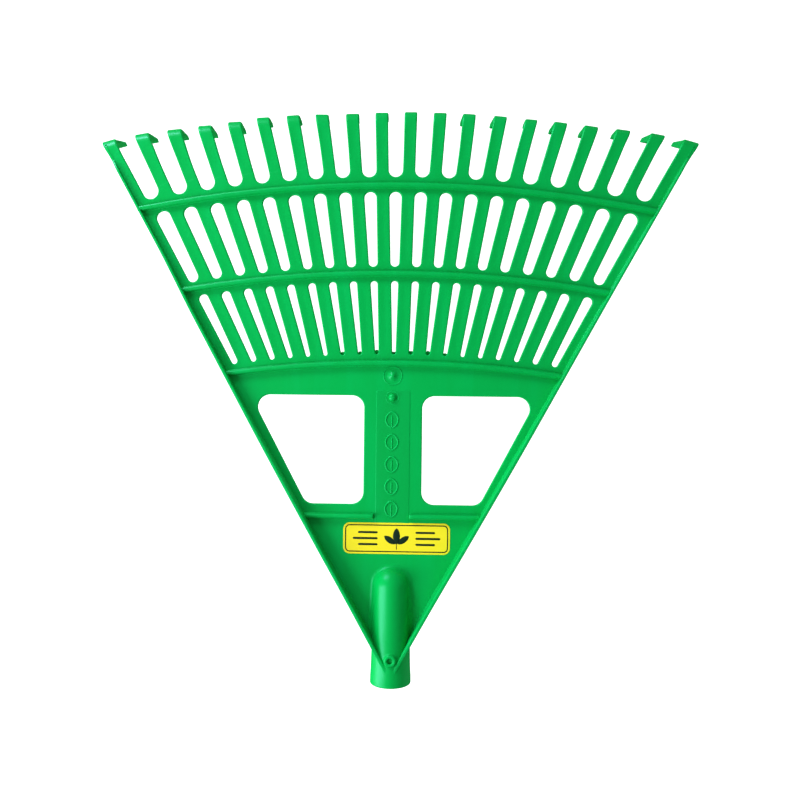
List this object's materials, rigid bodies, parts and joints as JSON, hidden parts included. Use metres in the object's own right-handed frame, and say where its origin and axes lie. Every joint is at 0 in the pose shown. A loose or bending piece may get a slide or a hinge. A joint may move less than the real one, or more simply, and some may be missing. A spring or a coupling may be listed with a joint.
{
  "type": "lawn rake head",
  "caption": "Fan-shaped plastic rake head, face up: tubular handle socket, ribbed web with windows, slotted rows and hooked free tines that flex.",
  "frame": {"origin": "centre of the flat blind end of the handle socket, where the end of the handle seats", "axes": "+Y from the socket to the tine tips, along the handle; +Z out of the ribbed face, so the hooks point to -Z; +X to the right seen from the ribbed face"},
  "size_m": [0.457, 0.4463, 0.0498],
  "materials": {
    "green_polypropylene": "semi-gloss moulded polypropylene, bright green",
    "label_film": "printed polymer film, glossy"
  },
  "bodies": {
    "head": {"handle_socket": "green_polypropylene", "shoulder_web": "green_polypropylene", "centre_spine": "green_polypropylene", "left_strut": "green_polypropylene", "right_strut": "green_polypropylene", "bridge_web": "green_polypropylene", "left_rail": "green_polypropylene", "radial_bar_02": "green_polypropylene", "radial_bar_03": "green_polypropylene", "radial_bar_04": "green_polypropylene", "radial_bar_05": "green_polypropylene", "radial_bar_06": "green_polypropylene", "radial_bar_07": "green_polypropylene", "radial_bar_08": "green_polypropylene", "radial_bar_09": "green_polypropylene", "radial_bar_10": "green_polypropylene", "radial_bar_11": "green_polypropylene", "radial_bar_12": "green_polypropylene", "radial_bar_13": "green_polypropylene", "radial_bar_14": "green_polypropylene", "radial_bar_15": "green_polypropylene", "radial_bar_16": "green_polypropylene", "radial_bar_17": "green_polypropylene", "radial_bar_18": "green_polypropylene", "radial_bar_19": "green_polypropylene", "right_rail": "green_polypropylene", "outer_band_left": "green_polypropylene", "outer_band_mid_left": "green_polypropylene", "outer_band_mid_right": "green_polypropylene", "outer_band_right": "green_polypropylene", "inner_arc_rib": "green_polypropylene", "middle_arc_rib": "green_polypropylene", "outer_arc_rib": "green_polypropylene", "left_shoulder_rib": "green_polypropylene", "right_shoulder_rib": "green_polypropylene", "left_flange": "green_polypropylene", "right_flange": "green_polypropylene", "label": "label_film"},
    "tine_01": {"tine_01": "green_polypropylene"},
    "tine_02": {"tine_02": "green_polypropylene"},
    "tine_03": {"tine_03": "green_polypropylene"},
    "tine_04": {"tine_04": "green_polypropylene"},
    "tine_05": {"tine_05": "green_polypropylene"},
    "tine_06": {"tine_06": "green_polypropylene"},
    "tine_07": {"tine_07": "green_polypropylene"},
    "tine_08": {"tine_08": "green_polypropylene"},
    "tine_09": {"tine_09": "green_polypropylene"},
    "tine_10": {"tine_10": "green_polypropylene"},
    "tine_11": {"tine_11": "green_polypropylene"},
    "tine_12": {"tine_12": "green_polypropylene"},
    "tine_13": {"tine_13": "green_polypropylene"},
    "tine_14": {"tine_14": "green_polypropylene"},
    "tine_15": {"tine_15": "green_polypropylene"},
    "tine_16": {"tine_16": "green_polypropylene"},
    "tine_17": {"tine_17": "green_polypropylene"},
    "tine_18": {"tine_18": "green_polypropylene"},
    "tine_19": {"tine_19": "green_polypropylene"},
    "tine_20": {"tine_20": "green_polypropylene"}
  },
  "joints": [
    {"name": "tine_01_flex", "type": "hinge", "parent": "head", "child": "tine_01", "pos_m": [-0.20074, 0.29872, 0], "axis": [0.8788, 0.4772, 0], "range_deg": [-15, 15], "stiffness_Nm_per_rad": 1.05},
    {"name": "tine_02_flex", "type": "hinge", "parent": "head", "child": "tine_02", "pos_m": [-0.18112, 0.30872, 0], "axis": [0.9026, 0.4305, 0], "range_deg": [-15, 15], "stiffness_Nm_per_rad": 1.23},
    {"name": "tine_03_flex", "type": "hinge", "parent": "head", "child": "tine_03", "pos_m": [-0.15864, 0.31199, 0], "axis": [0.9239, 0.3827, 0], "range_deg": [-15, 15], "stiffness_Nm_per_rad": 1.22},
    {"name": "tine_04_flex", "type": "hinge", "parent": "head", "child": "tine_04", "pos_m": [-0.13659, 0.31472, 0], "axis": [0.9426, 0.3338, 0], "range_deg": [-15, 15], "stiffness_Nm_per_rad": 1.22},
    {"name": "tine_05_flex", "type": "hinge", "parent": "head", "child": "tine_05", "pos_m": [-0.11492, 0.31695, 0], "axis": [0.9588, 0.284, 0], "range_deg": [-15, 15], "stiffness_Nm_per_rad": 1.21},
    {"name": "tine_06_flex", "type": "hinge", "parent": "head", "child": "tine_06", "pos_m": [-0.09356, 0.31871, 0], "axis": [0.9724, 0.2334, 0], "range_deg": [-15, 15], "stiffness_Nm_per_rad": 1.21},
    {"name": "tine_07_flex", "type": "hinge", "parent": "head", "child": "tine_07", "pos_m": [-0.07247, 0.32001, 0], "axis": [0.9833, 0.1822, 0], "range_deg": [-15, 15], "stiffness_Nm_per_rad": 1.2},
    {"name": "tine_08_flex", "type": "hinge", "parent": "head", "child": "tine_08", "pos_m": [-0.05159, 0.32089, 0], "axis": [0.9914, 0.1305, 0], "range_deg": [-15, 15], "stiffness_Nm_per_rad": 1.2},
    {"name": "tine_09_flex", "type": "hinge", "parent": "head", "child": "tine_09", "pos_m": [-0.03088, 0.32136, 0], "axis": [0.9969, 0.0785, 0], "range_deg": [-15, 15], "stiffness_Nm_per_rad": 1.19},
    {"name": "tine_10_flex", "type": "hinge", "parent": "head", "child": "tine_10", "pos_m": [-0.01028, 0.32142, 0], "axis": [0.9997, 0.0262, 0], "range_deg": [-15, 15], "stiffness_Nm_per_rad": 1.18},
    {"name": "tine_11_flex", "type": "hinge", "parent": "head", "child": "tine_11", "pos_m": [0.01028, 0.32142, 0], "axis": [0.9997, -0.0262, 0], "range_deg": [-15, 15], "stiffness_Nm_per_rad": 1.18},
    {"name": "tine_12_flex", "type": "hinge", "parent": "head", "child": "tine_12", "pos_m": [0.03088, 0.32136, 0], "axis": [0.9969, -0.0785, 0], "range_deg": [-15, 15], "stiffness_Nm_per_rad": 1.19},
    {"name": "tine_13_flex", "type": "hinge", "parent": "head", "child": "tine_13", "pos_m": [0.05159, 0.32089, 0], "axis": [0.9914, -0.1305, 0], "range_deg": [-15, 15], "stiffness_Nm_per_rad": 1.2},
    {"name": "tine_14_flex", "type": "hinge", "parent": "head", "child": "tine_14", "pos_m": [0.07247, 0.32001, 0], "axis": [0.9833, -0.1822, 0], "range_deg": [-15, 15], "stiffness_Nm_per_rad": 1.2},
    {"name": "tine_15_flex", "type": "hinge", "parent": "head", "child": "tine_15", "pos_m": [0.09356, 0.31871, 0], "axis": [0.9724, -0.2334, 0], "range_deg": [-15, 15], "stiffness_Nm_per_rad": 1.21},
    {"name": "tine_16_flex", "type": "hinge", "parent": "head", "child": "tine_16", "pos_m": [0.11492, 0.31695, 0], "axis": [0.9588, -0.284, 0], "range_deg": [-15, 15], "stiffness_Nm_per_rad": 1.21},
    {"name": "tine_17_flex", "type": "hinge", "parent": "head", "child": "tine_17", "pos_m": [0.13659, 0.31472, 0], "axis": [0.9426, -0.3338, 0], "range_deg": [-15, 15], "stiffness_Nm_per_rad": 1.22},
    {"name": "tine_18_flex", "type": "hinge", "parent": "head", "child": "tine_18", "pos_m": [0.15864, 0.31199, 0], "axis": [0.9239, -0.3827, 0], "range_deg": [-15, 15], "stiffness_Nm_per_rad": 1.22},
    {"name": "tine_19_flex", "type": "hinge", "parent": "head", "child": "tine_19", "pos_m": [0.18112, 0.30872, 0], "axis": [0.9026, -0.4305, 0], "range_deg": [-15, 15], "stiffness_Nm_per_rad": 1.23},
    {"name": "tine_20_flex", "type": "hinge", "parent": "head", "child": "tine_20", "pos_m": [0.20074, 0.29872, 0], "axis": [0.8788, -0.4772, 0], "range_deg": [-15, 15], "stiffness_Nm_per_rad": 1.05}
  ]
}
